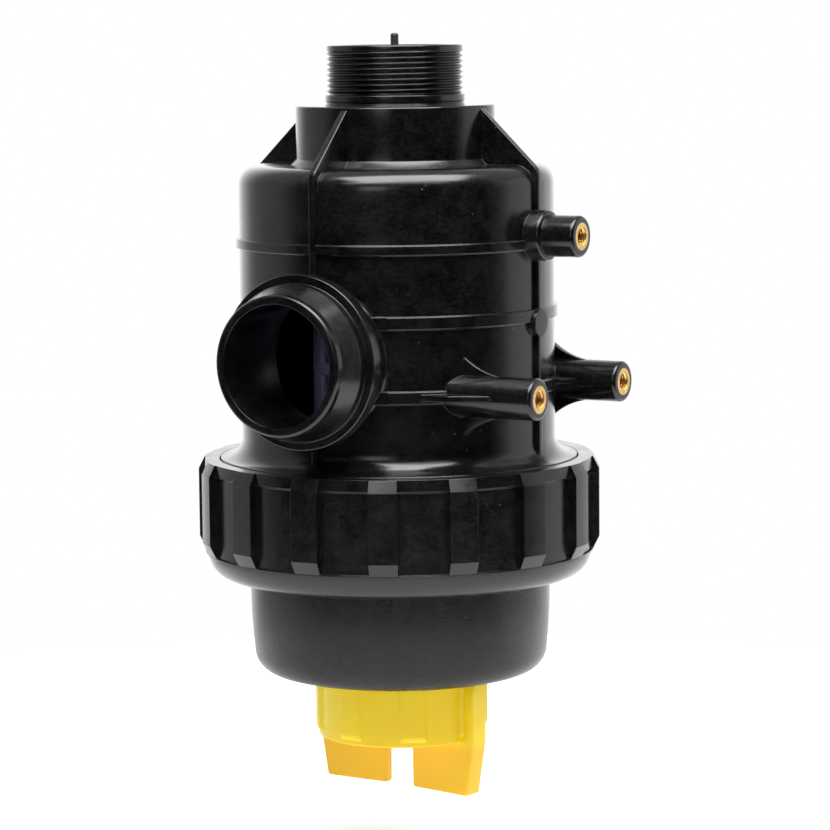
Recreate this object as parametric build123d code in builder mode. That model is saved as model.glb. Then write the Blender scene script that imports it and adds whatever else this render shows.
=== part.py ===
from build123d import *
import os
from math import cos, radians, sin, sqrt

# Suction filter with a built-in shut-off valve, in millimetres.
# The origin is the centre of the inlet port's rim and +Z is up, so the filter hangs below it.
# The outlet points along -Y and the three mounting bosses along +X.
os.makedirs("parts", exist_ok=True)

# Clearances
RUN_GAP = 0.1        # shaft in its guide, radial
SEAL_GAP = 0.3       # soft ring to the wall that it seals on
FACE_GAP = 0.2       # flat faces of pieces that turn or lift apart
THREAD_GAP = 0.3     # plain stand-in for a coarse plastic thread, radial

# Inlet port: a short pipe with a 2 inch pipe thread outside
INLET_MAJOR_R = 29.8
THREAD_DEPTH = 1.48
THREAD_LENGTH = 21.5
COLLAR_PROUD = 0.8
COLLAR_H = 4.6
INLET_WALL = 3.12    # from the thread's core to the bore
INLET_LIP = 2.0
INLET_LIP_H = 3.0

# Neck with the valve chamber inside
NECK_R = 43.65
NECK_H = 25.3
NECK_WALL = 5.5
NECK_FOOT_ROUND = 4.0
ROOF_T = 3.4
SEAT_STEP = 1.5
SEAT_DROP = 64.0     # from the rim to the step that stops the valve seat
SLEEVE_WALL = 4.0
SLEEVE_END = 94.0    # from the rim to the lower end of the sleeve inside the body

# Body of the housing
BODY_R = 69.2
WALL = 4.5
BODY_H = 128.6
SHOULDER_ROUND = 9.0
FLARE_ROUND = 9.0
RIB_T = 3.2
RIB_PROUD = 2.0
GUSSET_DROP = 1.5    # top of a gusset below the top of the neck
GUSSET_ROUND = 6.0
BAND_PITCH = 31.6
BAND_PROUD = 1.5
BAND_HEIGHTS = (5.4, 5.4, 4.2)
BAND_DROPS = (0, 0, 0.9)

# Threaded skirt that the ring nut screws on
SKIRT_PROUD = 8.1
SKIRT_WALL = 7.3
FLANGE_PROUD = 1.5
FLANGE_H = 4.0
SKIRT_H = 37.0
RIM_BORE_H = 30.0

# Outlet: a hose spigot for a 60 mm suction hose
OUTLET_DROP = 80.6   # from the shoulder to the outlet's axis
OUTLET_L = 31.8      # how far the outlet stands out of the body
SPIGOT_R = 30.0
SPIGOT_WALL = 4.0
SPIGOT_TIP_L = 4.0
SPIGOT_CHAMFER = 1.0
BARB_PROUD = 3.5     # a cone rises from the plain tip to this much
BARB_CONE_L = 9.0
BARB_L = 4.0
STOP_PROUD = 7.3
STOP_L = 6.5
PORT_PIPE_PROUD = 1.0

# Mounting bosses with threaded inserts
BOSS_R = 9.0
BOSS_L = 22.3        # how far a boss stands out of the body
BOSS_CHAMFER = 1.3
BOSS_RISE = 66.0
BOSS_SPREAD = 79.0
BOSS_ROOT_PROUD = 2.0
BOSS_ROOT_L = 7.0
WEB_T = 3.0
WEB_RISE = 7.3
WEB_RUN = 20.0
WEB_CURVE_R = 34.0
WEB_NOSE_DIP = 0.4   # the web's thin end dips this far into the boss
INSERT_R = 5.9
INSERT_BORE_R = 3.4
INSERT_L = 15.0
PAD_R = 6.0
PAD_PROUD = 0.7

# Ring nut
NUT_WALL = 6.9
LUG_PROUD = 2.7
POCKET_DEPTH = 1.1
LUG_COUNT = 16
LUG_ANGLE = 8.0
LUG_BEVEL_H = 5.3
LUG_H = 30.2
NUT_TURN = 3.1       # angle of a lug from +X at rest
NUT_ROUND = 11.0
NUT_LIP = 3.3
NUT_TOP_DROP = 0.4   # top of the nut below the housing's flange

# Bowl
BOWL_INSET = 2.8     # the bowl's side is this far inside the body's
BOWL_WALL = 4.0
BOWL_FLOOR = 4.5
BOWL_DEPTH = 54.6    # from the top of its flange to its underside
BOWL_TAPER = 1.6
TAPER_H = 16.0
BOWL_CORNER = 10.0
BOWL_FLANGE_T = 8.0
BOWL_SPIGOT_H = 18.0
BOWL_RING_WIRE = 2.0
HUB_WALL = 5.0
HUB_RISE = 19.4
UNDER_BOSS_PROUD = 1.0
UNDER_BOSS_H = 5.0
POST_WALL = 4.5
POST_H = 10.9
POST_RING_DROP = 3.6

# Valve
STEM_R = 4.0
TIP_R = 1.75
TIP_RISE = 5.1       # the tip stands this far above the rim when the valve is open
TIP_L = 13.0
VALVE_LIFT = 13.0
SEAT_BORE_R = 25.0
SEAT_LIP_T = 2.5
SEAT_LIP_H = 1.5
SEAT_H = 12.0
ARM_T = 3.0
ARM_H = 5.0
GUIDE_HUB_WALL = 3.5
DISC_R = 29.0
DISC_T = 4.0
WASHER_T = 2.5
RETAINER_R = 21.0
RETAINER_T = 2.0
NUT_FLATS = 10.0
NUT_T = 5.0
BOLT_STEP = 1.0      # the bolt end is this much slimmer than the stem
BOLT_TAIL = 1.0
SPRING_R = 9.5
WIRE_R = 0.9
SPRING_TURNS = 4
GUIDE_RING_T = 1.8
GUIDE_RING_H = 8.0
GUIDE_HUB_L = 20.0
SPRING_SEAT_T = 2.0

# Push rod and knob
ROD_R = 5.0
ROD_COLLAR_PROUD = 2.5
ROD_COLLAR_T = 3.0
NECK_ABOVE_HUB = 1.8
KNOB_NECK_R = 14.0
KNOB_GAP = 2.6       # from the bowl's underside to the knob's rim
KNOB_R = 37.0
KNOB_WALL = 3.5
KNOB_H = 26.7
KNOB_FLOOR = 4.0
KNOB_TURN = -7.0     # angle of the wings from +X at rest
GRIP_PROUD = 1.3
GRIP_W = 12.0
GRIP_COUNT = 8
WING_PROUD = 6.0
WING_LEAN = 4.0
WING_INNER = 7.2
WING_T = 10.4
WING_INNER_T = 5.2
WING_H = 24.1
WING_ROUND = 2.0
CLIP_ROOM = 2.0
CLIP_POCKET_H = 8.2
CLIP_PROUD = 2.0
CLIP_T = 1.2
CLIP_DEPTH = 1.2
CLIP_MOUTH = 5.3
KNOB_RING_WIRE = 1.3

# Filter cartridge
CAGE_INSET = 0.65    # the cage is this much slimmer than the sleeve's bore
CAGE_T = 1.4
CAGE_BARS = 6
CAGE_ROWS = 4
BAR_W = 12.0
HOOP_H = 5.0
CAGE_TURN = -13.0
MESH_T = 0.4
TOP_RING_WALL = 6.5
TOP_RING_H = 16.0
TOP_RING_GAP = 0.4
CART_FLANGE_PROUD = 3.25
CART_FLANGE_T = 3.5
CART_RING_WIRE = 1.5
BOTTOM_RING_WALL = 4.1
BOTTOM_RING_H = 9.0
POST_RING_WIRE = 1.0

# Heights and radii that follow from the sizes above
CORE_R = INLET_MAJOR_R - THREAD_DEPTH
INLET_BORE_R = CORE_R - INLET_WALL
NECK_TOP_Z = -(THREAD_LENGTH + COLLAR_H)
SHOULDER_Z = NECK_TOP_Z - NECK_H
ROOF_Z = NECK_TOP_Z - ROOF_T
SEAT_Z = -SEAT_DROP
SLEEVE_Z = -SLEEVE_END
SLEEVE_R = NECK_R - NECK_WALL
CHAMBER_R = SLEEVE_R - SEAT_STEP
CAVITY_R = BODY_R - WALL
OUTLET_Z = SHOULDER_Z - OUTLET_DROP
OUTLET_REACH = BODY_R + OUTLET_L
OUTLET_BORE_R = SPIGOT_R - SPIGOT_WALL
BARB_R = SPIGOT_R + BARB_PROUD
STOP_R = SPIGOT_R + STOP_PROUD
PORT_PIPE_R = SPIGOT_R + PORT_PIPE_PROUD
BAND_ZS = [OUTLET_Z + (row - 0.5) * BAND_PITCH - drop for row, drop in enumerate(BAND_DROPS)]
FLANGE_Z = SHOULDER_Z - BODY_H
SKIRT_R = BODY_R + SKIRT_PROUD
RIM_BORE_R = SKIRT_R - SKIRT_WALL
FLANGE_R = SKIRT_R + FLANGE_PROUD
HOUSING_END_Z = FLANGE_Z - FLANGE_H - SKIRT_H
BOSS_FACE_X = BODY_R + BOSS_L
BOSS_ROOT_R = BOSS_R + BOSS_ROOT_PROUD
LOWER_BOSS_Z = BAND_ZS[0]
UPPER_BOSS_Z = LOWER_BOSS_Z + BOSS_RISE
BOSS_POINTS = [(0, UPPER_BOSS_Z), (-BOSS_SPREAD / 2, LOWER_BOSS_Z), (BOSS_SPREAD / 2, LOWER_BOSS_Z)]

BOWL_TOP_Z = HOUSING_END_Z - SEAL_GAP
BOWL_UNDER_Z = BOWL_TOP_Z - BOWL_DEPTH
BOWL_FLOOR_Z = BOWL_UNDER_Z + BOWL_FLOOR
BOWL_R = BODY_R - BOWL_INSET
BOWL_FLANGE_R = SKIRT_R - THREAD_GAP
BOWL_SPIGOT_R = RIM_BORE_R - SEAL_GAP - RUN_GAP
HUB_R = KNOB_NECK_R + HUB_WALL
UNDER_BOSS_R = HUB_R + UNDER_BOSS_PROUD
HUB_TOP_Z = BOWL_FLOOR_Z + HUB_RISE
POST_TOP_Z = BOWL_FLOOR_Z + POST_H

NUT_TOP_Z = FLANGE_Z - NUT_TOP_DROP
NUT_BORE_R = SKIRT_R + THREAD_GAP
NUT_MOUTH_R = FLANGE_R + FACE_GAP + THREAD_GAP
NUT_RIM_R = NUT_MOUTH_R + NUT_WALL
LUG_R = NUT_RIM_R + LUG_PROUD
POCKET_R = NUT_RIM_R - POCKET_DEPTH
NUT_LIP_Z = BOWL_TOP_Z - BOWL_FLANGE_T - FACE_GAP
NUT_BOTTOM_Z = NUT_LIP_Z - NUT_LIP
NUT_NECK_R = BOWL_R + THREAD_GAP + FACE_GAP

SEAT_TOP_Z = SEAT_Z + SEAT_LIP_H
WASHER_Z = SEAT_TOP_Z + VALVE_LIFT
DISC_Z = WASHER_Z + WASHER_T
DISC_TOP_Z = DISC_Z + DISC_T
RETAINER_Z = WASHER_Z - RETAINER_T
STEM_NUT_Z = RETAINER_Z - NUT_T
STEM_END_Z = STEM_NUT_Z - BOLT_TAIL
BOLT_R = STEM_R - BOLT_STEP
GUIDE_HUB_R = ROD_R + GUIDE_HUB_WALL
GUIDE_TOP_Z = -INLET_LIP_H
GUIDE_HUB_Z = GUIDE_TOP_Z - GUIDE_HUB_L
SEAT_ARM_Z = SEAT_Z - SEAT_H

WING_R = KNOB_R + WING_PROUD
WING_FOOT_R = WING_R - WING_LEAN
ROD_COLLAR_R = ROD_R + ROD_COLLAR_PROUD
CLIP_R = ROD_R + CLIP_PROUD
CLIP_POCKET_R = CLIP_R + CLIP_ROOM
KNOB_TOP_Z = BOWL_UNDER_Z - KNOB_GAP
KNOB_BOTTOM_Z = KNOB_TOP_Z - KNOB_H
KNOB_FLOOR_Z = KNOB_BOTTOM_Z + KNOB_FLOOR
KNOB_NECK_TOP_Z = HUB_TOP_Z + NECK_ABOVE_HUB
KNOB_SHAFT_R = KNOB_NECK_R - RUN_GAP
ROD_TOP_Z = STEM_END_Z - FACE_GAP
CLIP_TOP_Z = KNOB_BOTTOM_Z + CLIP_POCKET_H - FACE_GAP
ROD_END_Z = CLIP_TOP_Z - CLIP_T - 2 * CLIP_DEPTH

TOP_RING_R = SLEEVE_R - TOP_RING_GAP
CART_FLANGE_R = TOP_RING_R + CART_FLANGE_PROUD
CAGE_R = SLEEVE_R - CAGE_INSET
CART_FLANGE_Z = SLEEVE_Z - SEAL_GAP
CAGE_TOP_Z = CART_FLANGE_Z - CART_FLANGE_T
CAGE_BOTTOM_Z = BOWL_FLOOR_Z + BOTTOM_RING_H + FACE_GAP
POST_BORE_R = CAGE_R - BOTTOM_RING_WALL
POST_R = POST_BORE_R - TOP_RING_GAP


def revolved(points):
    """Turns a closed outline of (radius, height) points about the Z axis."""
    with BuildSketch(Plane.XZ) as outline:
        with BuildLine():
            Polyline(*points, close=True)
        make_face()
    revolve(outline.sketch, axis=Axis.Z)


def tube(outer_r, inner_r, top_z, bottom_z):
    """Makes an upright tube between two heights."""
    with BuildSketch(Plane.XY.offset(bottom_z)) as section:
        Circle(outer_r)
        Circle(inner_r, mode=Mode.SUBTRACT)
    extrude(section.sketch, amount=top_z - bottom_z)


def ring_groove(ring_r, wire_r, height):
    """Cuts a square groove that a rubber ring of outer radius ring_r sits in."""
    with BuildSketch(Plane.XZ) as section:
        with Locations((ring_r, height)):
            Rectangle(4 * wire_r, 2 * wire_r + 2 * RUN_GAP)
    revolve(section.sketch, axis=Axis.Z, mode=Mode.SUBTRACT)


def round_ring(ring_r, wire_r, height):
    """Makes a rubber ring of round section and outer radius ring_r."""
    with BuildSketch(Plane.XZ) as section:
        with Locations((ring_r - wire_r, height)):
            Circle(wire_r)
    revolve(section.sketch, axis=Axis.Z)


def spider_arms(count, inner_r, outer_r, top_z, arm_h, turn):
    """Makes radial arms between a hub and a ring."""
    with BuildSketch(Plane.XY.offset(top_z - arm_h)) as section:
        with PolarLocations((inner_r + outer_r) / 2, count, start_angle=turn):
            Rectangle(outer_r - inner_r, ARM_T)
    extrude(section.sketch, amount=arm_h)


# One gusset and the rib below it, in the XZ plane.
# The gusset slopes from the neck to the shoulder and its corner is rounded into the rib.
RIB_R = BODY_R + RIB_PROUD
GUSSET_FOOT_Z = SHOULDER_Z - RIB_PROUD
with BuildPart() as rib:
    with BuildSketch(Plane.XZ):
        with BuildLine():
            Polyline(
                (NECK_R - NECK_WALL / 2, NECK_TOP_Z - GUSSET_DROP),
                (NECK_R, NECK_TOP_Z - GUSSET_DROP),
                (RIB_R, GUSSET_FOOT_Z),
                (RIB_R, FLANGE_Z),
                (BODY_R - WALL / 2, FLANGE_Z),
                (BODY_R - WALL / 2, SHOULDER_Z - SHOULDER_ROUND),
                (NECK_R - NECK_WALL / 2, SHOULDER_Z - WALL / 2),
                close=True,
            )
        make_face()
    extrude(amount=RIB_T / 2, both=True)
    cross_edges = rib.edges().filter_by(Axis.Y)
    fillet(cross_edges.sort_by_distance((RIB_R, 0, GUSSET_FOOT_Z))[0], GUSSET_ROUND)

# One concave web beside a lower mounting boss, centred on the boss's axis.
WEB_BASE_X = sqrt(BODY_R**2 - (BOSS_SPREAD / 2) ** 2)
WEB_ROOT_X = sqrt(CAVITY_R**2 - (BOSS_SPREAD / 2 + BOSS_R + WEB_RISE) ** 2)
with BuildPart() as web:
    with BuildSketch(Plane.XZ):
        with BuildLine():
            foot = (WEB_BASE_X, BOSS_R + WEB_RISE)
            nose = (WEB_BASE_X + WEB_RUN, BOSS_R - WEB_NOSE_DIP)
            Polyline((nose[0], 0), (WEB_ROOT_X, 0), (WEB_ROOT_X, foot[1]), foot)
            RadiusArc(foot, nose, -WEB_CURVE_R)
            Line(nose, (nose[0], 0))
        make_face()
    extrude(amount=WEB_T / 2, both=True)
    mirror(about=Plane.XY)

# Housing: one moulding with the inlet, the neck, the ribbed body, the outlet and the bosses.
with BuildPart() as housing:
    with BuildSketch(Plane.XZ):
        with BuildLine():
            Polyline(
                (0, 0),
                (CORE_R, 0),
                (CORE_R, -THREAD_LENGTH),
                (INLET_MAJOR_R + COLLAR_PROUD, -THREAD_LENGTH),
                (INLET_MAJOR_R + COLLAR_PROUD, NECK_TOP_Z),
                (NECK_R, NECK_TOP_Z),
                (NECK_R, SHOULDER_Z + NECK_FOOT_ROUND),
            )
            CenterArc((NECK_R + NECK_FOOT_ROUND, SHOULDER_Z + NECK_FOOT_ROUND), NECK_FOOT_ROUND, 180, 90)
            Line((NECK_R + NECK_FOOT_ROUND, SHOULDER_Z), (BODY_R - SHOULDER_ROUND, SHOULDER_Z))
            CenterArc((BODY_R - SHOULDER_ROUND, SHOULDER_Z - SHOULDER_ROUND), SHOULDER_ROUND, 0, 90)
            Line((BODY_R, SHOULDER_Z - SHOULDER_ROUND), (BODY_R, FLANGE_Z + FLARE_ROUND))
            CenterArc((BODY_R + FLARE_ROUND, FLANGE_Z + FLARE_ROUND), FLARE_ROUND, 180, 90)
            Polyline(
                (BODY_R + FLARE_ROUND, FLANGE_Z),
                (FLANGE_R, FLANGE_Z),
                (FLANGE_R, FLANGE_Z - FLANGE_H),
                (SKIRT_R, FLANGE_Z - FLANGE_H),
                (SKIRT_R, HOUSING_END_Z),
                (0, HOUSING_END_Z),
                (0, 0),
            )
        make_face()
    revolve(axis=Axis.Z)

    # Three flat bands around the body
    for band_z, band_h in zip(BAND_ZS, BAND_HEIGHTS):
        with BuildSketch(Plane.XZ):
            with Locations((BODY_R, band_z)):
                Rectangle(2 * BAND_PROUD, band_h)
        revolve(axis=Axis.Z)

    # Four gussets, each running on as a rib down the body
    with PolarLocations(0, 4):
        add(rib.part)

    # Outlet: pipe, stop collar, hose barb and plain tip, turned about the outlet's axis
    cone_y = SPIGOT_TIP_L - OUTLET_REACH
    barb_y = cone_y + BARB_CONE_L
    stop_y = barb_y + BARB_L
    pipe_y = stop_y + STOP_L
    with BuildSketch(Plane.XY.offset(OUTLET_Z)):
        with BuildLine():
            Polyline(
                (0, -BODY_R / 2),
                (PORT_PIPE_R, -BODY_R / 2),
                (PORT_PIPE_R, pipe_y),
                (STOP_R, pipe_y),
                (STOP_R, stop_y),
                (BARB_R, stop_y),
                (BARB_R, barb_y),
                (SPIGOT_R, cone_y),
                (SPIGOT_R, SPIGOT_CHAMFER - OUTLET_REACH),
                (SPIGOT_R - SPIGOT_CHAMFER, -OUTLET_REACH),
                (0, -OUTLET_REACH),
                close=True,
            )
        make_face()
    revolve(axis=Axis((0, 0, OUTLET_Z), (0, 1, 0)))

    # Mounting bosses, with webs beside the lower two and a thick root under the upper one
    with BuildSketch(Plane.YZ.offset(BOSS_FACE_X)):
        with Locations(*BOSS_POINTS):
            Circle(BOSS_R)
    extrude(amount=-(BOSS_FACE_X - WEB_ROOT_X))
    boss_rims = housing.edges().filter_by(GeomType.CIRCLE).group_by(Axis.X)[-1]
    chamfer(boss_rims, BOSS_CHAMFER)
    with BuildSketch(Plane.YZ.offset(BODY_R + BOSS_ROOT_L)):
        with Locations((0, UPPER_BOSS_Z)):
            Circle(BOSS_ROOT_R)
    extrude(amount=-(WALL + BOSS_ROOT_L))
    for side in (-1, 1):
        for roll in (0, 90):
            with Locations(Location((0, side * BOSS_SPREAD / 2, LOWER_BOSS_Z), (roll, 0, 0))):
                add(web.part)

    # Round blank pad where the middle band crosses the +X rib
    with BuildSketch(Plane.YZ.offset(RIB_R + PAD_PROUD)):
        with Locations((0, BAND_ZS[1] - PAD_R / 2)):
            Circle(PAD_R)
    extrude(amount=-(WALL + RIB_PROUD + PAD_PROUD) / 2)

    # Hollow: inlet bore, valve chamber, the sleeve that hangs inside the body, and the body's inside
    hollow_outline = [
        (0, NECK_H),
        (INLET_BORE_R - INLET_LIP, NECK_H),
        (INLET_BORE_R - INLET_LIP, GUIDE_TOP_Z),
        (INLET_BORE_R, GUIDE_TOP_Z),
        (INLET_BORE_R, ROOF_Z),
        (CHAMBER_R, ROOF_Z),
        (CHAMBER_R, SEAT_Z),
        (SLEEVE_R, SEAT_Z),
        (SLEEVE_R, SLEEVE_Z),
        (SLEEVE_R + SLEEVE_WALL, SLEEVE_Z),
        (SLEEVE_R + SLEEVE_WALL, SHOULDER_Z - WALL),
        (CAVITY_R - SHOULDER_ROUND / 2, SHOULDER_Z - WALL),
        (CAVITY_R, SHOULDER_Z - WALL - SHOULDER_ROUND / 2),
        (CAVITY_R, HOUSING_END_Z + RIM_BORE_H),
        (RIM_BORE_R, HOUSING_END_Z + RIM_BORE_H),
        (RIM_BORE_R, HOUSING_END_Z - WALL),
        (0, HOUSING_END_Z - WALL),
    ]
    with BuildSketch(Plane.XZ):
        with BuildLine():
            Polyline(*hollow_outline, close=True)
        make_face()
    revolve(axis=Axis.Z, mode=Mode.SUBTRACT)

    # Outlet bore through the wall
    bore_inner_y = SLEEVE_R + SLEEVE_WALL
    with BuildSketch(Plane.XZ.offset(OUTLET_REACH)):
        with Locations((0, OUTLET_Z)):
            Circle(OUTLET_BORE_R)
    extrude(amount=-(OUTLET_REACH - bore_inner_y), mode=Mode.SUBTRACT)

    # Pockets for the threaded inserts
    with BuildSketch(Plane.YZ.offset(BOSS_FACE_X)):
        with Locations(*BOSS_POINTS):
            Circle(INSERT_R)
    extrude(amount=-INSERT_L, mode=Mode.SUBTRACT)
housing.part.label = "housing"
export_step(housing.part, "parts/housing.step")

# Brass inserts, moulded into the bosses flush with their faces
with BuildPart() as threaded_inserts:
    with BuildSketch(Plane.YZ.offset(BOSS_FACE_X)):
        with Locations(*BOSS_POINTS):
            Circle(INSERT_R)
            Circle(INSERT_BORE_R, mode=Mode.SUBTRACT)
    extrude(amount=-INSERT_L)
threaded_inserts.part.label = "threaded_inserts"
export_step(threaded_inserts.part, "parts/threaded_inserts.step")

# Valve guide: a spider pushed up the inlet bore against the lip, with a hub for the stem
with BuildPart() as valve_guide:
    tube(INLET_BORE_R - RUN_GAP, INLET_BORE_R - GUIDE_RING_T, GUIDE_TOP_Z, GUIDE_TOP_Z - GUIDE_RING_H)
    tube(GUIDE_HUB_R, STEM_R + RUN_GAP, GUIDE_TOP_Z, GUIDE_HUB_Z)
    tube(SPRING_R + 2 * WIRE_R, STEM_R + RUN_GAP, GUIDE_HUB_Z + SPRING_SEAT_T, GUIDE_HUB_Z)
    spider_arms(4, (STEM_R + GUIDE_HUB_R) / 2, INLET_BORE_R - GUIDE_RING_T / 2, GUIDE_TOP_Z, GUIDE_RING_H, 45)
valve_guide.part.label = "valve_guide"
export_step(valve_guide.part, "parts/valve_guide.step")

# Valve seat: a ring pushed up the sleeve against its step, with a raised lip and arms for the rod guide
with BuildPart() as valve_seat:
    revolved(
        [
            (SEAT_BORE_R, SEAT_ARM_Z),
            (SLEEVE_R - RUN_GAP, SEAT_ARM_Z),
            (SLEEVE_R - RUN_GAP, SEAT_Z),
            (SEAT_BORE_R + SEAT_LIP_T + SEAT_LIP_H, SEAT_Z),
            (SEAT_BORE_R + SEAT_LIP_T, SEAT_TOP_Z),
            (SEAT_BORE_R, SEAT_TOP_Z),
        ]
    )
    tube(GUIDE_HUB_R, ROD_R + RUN_GAP, SEAT_ARM_Z + ARM_H, SEAT_ARM_Z)
    spider_arms(3, (ROD_R + GUIDE_HUB_R) / 2, SEAT_BORE_R + SEAT_LIP_T / 2, SEAT_ARM_Z + ARM_H, ARM_H, 90)
    ring_groove(SLEEVE_R, CART_RING_WIRE, SEAT_Z - SEAT_H / 2)
valve_seat.part.label = "valve_seat"
export_step(valve_seat.part, "parts/valve_seat.step")

# Rubber ring between the valve seat and the sleeve
with BuildPart() as seat_o_ring:
    round_ring(SLEEVE_R, CART_RING_WIRE, SEAT_Z - SEAT_H / 2)
seat_o_ring.part.label = "seat_o_ring"
export_step(seat_o_ring.part, "parts/seat_o_ring.step")

# Valve stem: a round pin with a slim tip above and a bolt end that clamps the disc below
with BuildPart() as valve_stem:
    revolved(
        [
            (0, TIP_RISE),
            (TIP_R, TIP_RISE),
            (TIP_R, TIP_RISE - TIP_L),
            (STEM_R, TIP_RISE - TIP_L),
            (STEM_R, DISC_TOP_Z),
            (BOLT_R, DISC_TOP_Z),
            (BOLT_R, STEM_END_Z),
            (0, STEM_END_Z),
        ]
    )
valve_stem.part.label = "valve_stem"
export_step(valve_stem.part, "parts/valve_stem.step")

# Valve disc with a raised spring ring
with BuildPart() as valve_disc:
    tube(DISC_R, BOLT_R, DISC_TOP_Z, DISC_Z)
    tube(SPRING_R - 2 * WIRE_R, STEM_R + RUN_GAP, DISC_TOP_Z + 2 * WIRE_R, DISC_TOP_Z)
valve_disc.part.label = "valve_disc"
export_step(valve_disc.part, "parts/valve_disc.step")

# Rubber washer that closes on the seat's lip
with BuildPart() as valve_washer:
    tube(DISC_R - WIRE_R, BOLT_R, DISC_Z, WASHER_Z)
valve_washer.part.label = "valve_washer"
export_step(valve_washer.part, "parts/valve_washer.step")

# Steel plate that holds the washer's middle
with BuildPart() as washer_retainer:
    tube(RETAINER_R, BOLT_R, WASHER_Z, RETAINER_Z)
washer_retainer.part.label = "washer_retainer"
export_step(washer_retainer.part, "parts/washer_retainer.step")

# Hexagon nut on the stem's bolt end
with BuildPart() as stem_nut:
    with BuildSketch(Plane.XY.offset(STEM_NUT_Z)):
        RegularPolygon(NUT_FLATS / 2, 6, major_radius=False)
        Circle(BOLT_R, mode=Mode.SUBTRACT)
    extrude(amount=NUT_T)
stem_nut.part.label = "stem_nut"
export_step(stem_nut.part, "parts/stem_nut.step")

# Coil spring that shuts the valve when the knob is unscrewed
SPRING_L = GUIDE_HUB_Z - DISC_TOP_Z
with BuildPart() as valve_spring:
    with BuildLine() as coil:
        Helix(
            pitch=(SPRING_L - 2 * WIRE_R) / SPRING_TURNS,
            height=SPRING_L - 2 * WIRE_R,
            radius=SPRING_R,
            center=(0, 0, DISC_TOP_Z + WIRE_R),
        )
    with BuildSketch(Plane(origin=coil.line @ 0, z_dir=coil.line % 0)):
        Circle(WIRE_R)
    sweep(is_frenet=True)
valve_spring.part.label = "valve_spring"
export_step(valve_spring.part, "parts/valve_spring.step")

# Bowl: a drawn cup with a spigot that enters the housing, a flange for the nut, and a hub for the knob
BOWL_FOOT_R = BOWL_R - BOWL_TAPER
BOWL_FLANGE_Z = BOWL_TOP_Z - BOWL_FLANGE_T
with BuildPart() as bowl:
    with BuildSketch(Plane.XZ):
        with BuildLine():
            Polyline(
                (0, BOWL_TOP_Z + BOWL_SPIGOT_H),
                (BOWL_SPIGOT_R, BOWL_TOP_Z + BOWL_SPIGOT_H),
                (BOWL_SPIGOT_R, BOWL_TOP_Z),
                (BOWL_FLANGE_R, BOWL_TOP_Z),
                (BOWL_FLANGE_R, BOWL_FLANGE_Z),
                (BOWL_R, BOWL_FLANGE_Z),
                (BOWL_R, BOWL_UNDER_Z + BOWL_CORNER + TAPER_H),
                (BOWL_FOOT_R, BOWL_UNDER_Z + BOWL_CORNER),
            )
            CenterArc((BOWL_FOOT_R - BOWL_CORNER, BOWL_UNDER_Z + BOWL_CORNER), BOWL_CORNER, 270, 90)
            Polyline(
                (BOWL_FOOT_R - BOWL_CORNER, BOWL_UNDER_Z),
                (UNDER_BOSS_R, BOWL_UNDER_Z),
                (UNDER_BOSS_R, BOWL_UNDER_Z - UNDER_BOSS_H),
                (0, BOWL_UNDER_Z - UNDER_BOSS_H),
                (0, BOWL_TOP_Z + BOWL_SPIGOT_H),
            )
        make_face()
    revolve(axis=Axis.Z)
    inner_corner = BOWL_CORNER - BOWL_WALL
    inner_foot_r = BOWL_FOOT_R - BOWL_WALL
    with BuildSketch(Plane.XZ):
        with BuildLine():
            Polyline(
                (inner_foot_r - inner_corner, BOWL_FLOOR_Z),
                (0, BOWL_FLOOR_Z),
                (0, BOWL_TOP_Z + BOWL_SPIGOT_H + WALL),
                (BOWL_R - BOWL_WALL, BOWL_TOP_Z + BOWL_SPIGOT_H + WALL),
                (BOWL_R - BOWL_WALL, BOWL_UNDER_Z + BOWL_CORNER + TAPER_H),
                (inner_foot_r, BOWL_FLOOR_Z + inner_corner),
            )
            CenterArc((inner_foot_r - inner_corner, BOWL_FLOOR_Z + inner_corner), inner_corner, 270, 90)
        make_face()
    revolve(axis=Axis.Z, mode=Mode.SUBTRACT)
    tube(HUB_R, KNOB_NECK_R, HUB_TOP_Z, BOWL_FLOOR_Z)
    tube(POST_R, POST_R - POST_WALL, POST_TOP_Z, BOWL_FLOOR_Z)
    with BuildSketch(Plane.XY.offset(HUB_TOP_Z)):
        Circle(KNOB_NECK_R)
    extrude(amount=-(HUB_TOP_Z - BOWL_UNDER_Z + UNDER_BOSS_H), mode=Mode.SUBTRACT)
    BOWL_RING_Z = BOWL_TOP_Z + BOWL_SPIGOT_H / 2
    ring_groove(RIM_BORE_R - SEAL_GAP, BOWL_RING_WIRE, BOWL_RING_Z)
    POST_RING_Z = POST_TOP_Z - POST_RING_DROP
    ring_groove(POST_BORE_R - RUN_GAP, POST_RING_WIRE, POST_RING_Z)
bowl.part.label = "bowl"
export_step(bowl.part, "parts/bowl.step")

# Rubber ring in the groove of the bowl's spigot
with BuildPart() as bowl_o_ring:
    round_ring(RIM_BORE_R - SEAL_GAP, BOWL_RING_WIRE, BOWL_RING_Z)
bowl_o_ring.part.label = "bowl_o_ring"
export_step(bowl_o_ring.part, "parts/bowl_o_ring.step")

# One pocket between two lugs of the ring nut; its top slopes out to the nut's rim
LUG_PITCH = 360 / LUG_COUNT
LUG_TOP_Z = NUT_TOP_Z - LUG_BEVEL_H
LUG_FOOT_Z = LUG_TOP_Z - LUG_H
LUG_END_Z = LUG_FOOT_Z - LUG_BEVEL_H
with BuildPart() as pocket:
    with BuildSketch(Plane.XZ):
        with BuildLine():
            Polyline(
                (NUT_RIM_R, NUT_TOP_Z),
                (POCKET_R, LUG_TOP_Z),
                (POCKET_R, LUG_END_Z),
                (2 * LUG_R - NUT_RIM_R, LUG_END_Z),
                (2 * LUG_R - NUT_RIM_R, NUT_TOP_Z),
                close=True,
            )
        make_face()
    revolve(axis=Axis.Z, revolution_arc=LUG_PITCH - LUG_ANGLE)

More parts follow.
